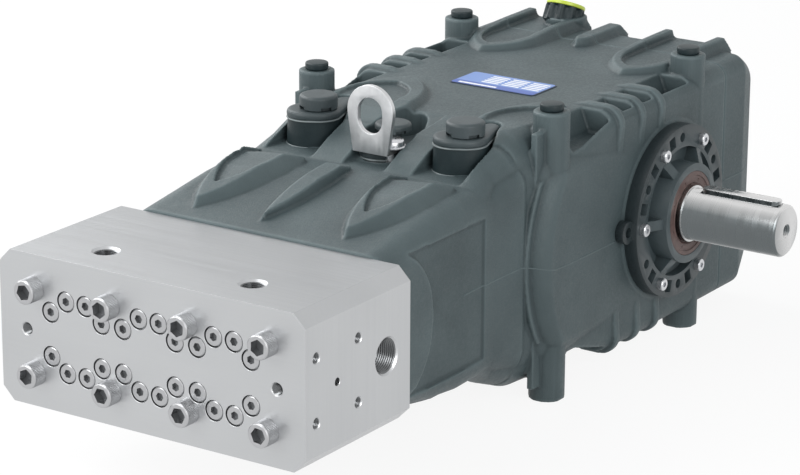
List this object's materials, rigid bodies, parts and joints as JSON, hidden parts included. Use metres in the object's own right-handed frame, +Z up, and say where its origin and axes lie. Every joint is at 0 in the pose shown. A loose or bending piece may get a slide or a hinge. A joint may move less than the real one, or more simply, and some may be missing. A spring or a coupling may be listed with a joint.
{
  "type": "high-pressure plunger pump",
  "caption": "Horizontal plunger pump: steel fluid head with side and top ports, cast crankcase on four feet, keyed drive shaft that turns, lifting eye and oil filler.",
  "frame": {"origin": "centre of the four foot holes, on the plane the feet stand on", "axes": "+Z up; +X out along the drive shaft; -Y towards the fluid head"},
  "size_m": [0.489, 0.897, 0.3275],
  "materials": {
    "cast_paint": "dark grey-green satin paint over a cast surface",
    "stainless": "fine machined and brushed",
    "bright_steel": "bright screws",
    "shaft_steel": "ground steel",
    "zinc_steel": "zinc plate",
    "black_rubber": "matt moulded rubber",
    "black_plastic": "moulded plastic",
    "seal_rubber": "brown oil seal rubber",
    "blue_plate": "printed plate with plain fields",
    "clear_glass": "level glass with oil behind it",
    "lime_plastic": "moulded plastic"
  },
  "bodies": {
    "pump": {"access_lid_left": "black_rubber", "access_lid_middle": "black_rubber", "access_lid_right": "black_rubber", "bearing_cover": "cast_paint", "blind_cover": "cast_paint", "casing": "cast_paint", "drain_plug": "zinc_steel", "filler_cap": "black_plastic", "filler_top": "lime_plastic", "fluid_head": "stainless", "head_screws": "bright_steel", "lifting_eye": "zinc_steel", "lifting_eye_screw": "bright_steel", "lifting_eye_washer": "bright_steel", "mushroom_cap_left": "black_rubber", "mushroom_cap_middle": "black_rubber", "mushroom_cap_right": "black_rubber", "nameplate": "blue_plate", "oil_level_glass": "clear_glass", "oil_seal": "seal_rubber", "post_plug_front_left": "black_plastic", "post_plug_front_right": "black_plastic", "post_plug_rear_left": "black_plastic", "post_plug_rear_right": "black_plastic", "rear_cover": "cast_paint"},
    "shaft": {"drive_shaft": "shaft_steel", "shaft_key": "shaft_steel"}
  },
  "joints": [
    {"name": "shaft_spin", "type": "hinge", "parent": "pump", "child": "shaft", "pos_m": [0, 0.07, 0.15], "axis": [1, 0, 0], "continuous": true}
  ]
}
